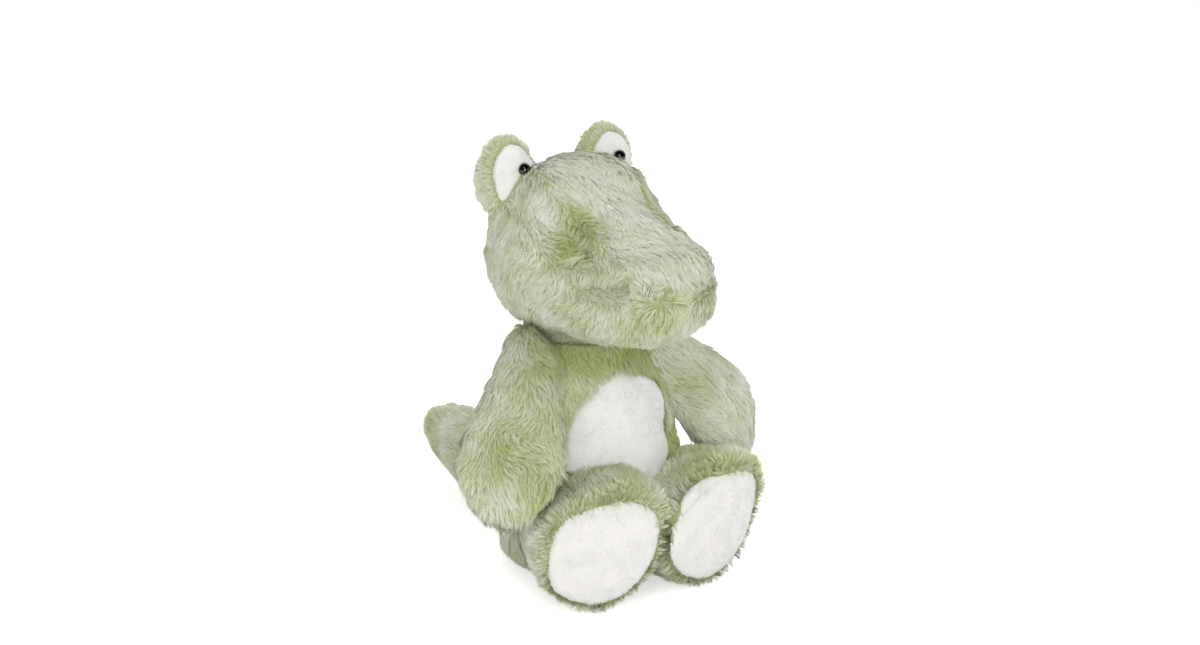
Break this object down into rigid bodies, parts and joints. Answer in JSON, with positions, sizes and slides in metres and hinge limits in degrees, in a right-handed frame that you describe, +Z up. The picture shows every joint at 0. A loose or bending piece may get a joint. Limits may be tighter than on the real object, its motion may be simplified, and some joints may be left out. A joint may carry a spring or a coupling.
{
  "type": "plush crocodile",
  "caption": "Seated long-pile plush crocodile with white belly, soles and eye patches, bead eyes, and soft-jointed head, arms, legs and tail",
  "frame": {"origin": "on the floor, below the middle of the neck, in the flat underside of the seat panel", "axes": "+Z up, the toy faces -Y with its tail along +Y, and its left side is +X"},
  "size_m": [0.2634, 0.3309, 0.3052],
  "materials": {
    "green_long_pile": "sage green long-pile faux fur, tousled",
    "white_short_pile": "white short-pile plush",
    "polyester_fibre": "loose white fibre",
    "bean_bag_cloth": "plain woven bag of pellets",
    "sewing_thread": "green polyester thread",
    "eye_plastic": "glossy black",
    "washer_plastic": "natural moulded"
  },
  "bodies": {
    "body": {"seat_panel": "green_long_pile", "body_back_panel": "green_long_pile", "body_front_panel": "green_long_pile", "belly_panel": "white_short_pile", "body_stuffing": "polyester_fibre", "seat_bean_bag": "bean_bag_cloth"},
    "neck": {"neck_seam": "sewing_thread"},
    "head": {"chin_panel": "green_long_pile", "head_top_panel": "green_long_pile", "cheek_panel_left": "green_long_pile", "cheek_panel_right": "green_long_pile", "head_stuffing": "polyester_fibre", "eye_mound_left": "green_long_pile", "eye_patch_left": "white_short_pile", "eye_left": "eye_plastic", "eye_washer_left": "washer_plastic", "eye_mound_stuffing_left": "polyester_fibre", "eye_mound_right": "green_long_pile", "eye_patch_right": "white_short_pile", "eye_right": "eye_plastic", "eye_washer_right": "washer_plastic", "eye_mound_stuffing_right": "polyester_fibre"},
    "arm_left": {"arm_outer_panel_left": "green_long_pile", "arm_inner_panel_left": "green_long_pile", "arm_stuffing_left": "polyester_fibre"},
    "arm_right": {"arm_outer_panel_right": "green_long_pile", "arm_inner_panel_right": "green_long_pile", "arm_stuffing_right": "polyester_fibre"},
    "leg_left": {"leg_cover_left": "green_long_pile", "sole_left": "white_short_pile", "leg_stuffing_left": "polyester_fibre"},
    "leg_right": {"leg_cover_right": "green_long_pile", "sole_right": "white_short_pile", "leg_stuffing_right": "polyester_fibre"},
    "tail": {"tail_panel_left": "green_long_pile", "tail_panel_right": "green_long_pile", "tail_stuffing": "polyester_fibre"}
  },
  "joints": [
    {"name": "neck_nod", "type": "hinge", "parent": "body", "child": "neck", "pos_m": [0, 0, 0.149], "axis": [1, 0, 0], "range_deg": [-12, 10], "stiffness_Nm_per_rad": 1.2},
    {"name": "neck_turn", "type": "hinge", "parent": "neck", "child": "head", "pos_m": [0, 0, 0.149], "axis": [0, 0, 1], "range_deg": [-30, 30], "stiffness_Nm_per_rad": 0.6},
    {"name": "shoulder_left", "type": "hinge", "parent": "body", "child": "arm_left", "pos_m": [0.054, 0, 0.173], "axis": [0, -1, 0], "range_deg": [0, 45], "stiffness_Nm_per_rad": 0.12},
    {"name": "shoulder_right", "type": "hinge", "parent": "body", "child": "arm_right", "pos_m": [-0.054, 0, 0.173], "axis": [0, 1, 0], "range_deg": [0, 45], "stiffness_Nm_per_rad": 0.12},
    {"name": "hip_left", "type": "hinge", "parent": "body", "child": "leg_left", "pos_m": [0.0445, -0.02, 0.006], "axis": [1, 0, 0], "range_deg": [0, 45], "stiffness_Nm_per_rad": 0.3},
    {"name": "hip_right", "type": "hinge", "parent": "body", "child": "leg_right", "pos_m": [-0.0445, -0.02, 0.006], "axis": [1, 0, 0], "range_deg": [0, 45], "stiffness_Nm_per_rad": 0.3},
    {"name": "tail_wag", "type": "hinge", "parent": "body", "child": "tail", "pos_m": [0, 0.06055, 0], "axis": [0, 0, 1], "range_deg": [-15, 15], "stiffness_Nm_per_rad": 0.3}
  ]
}
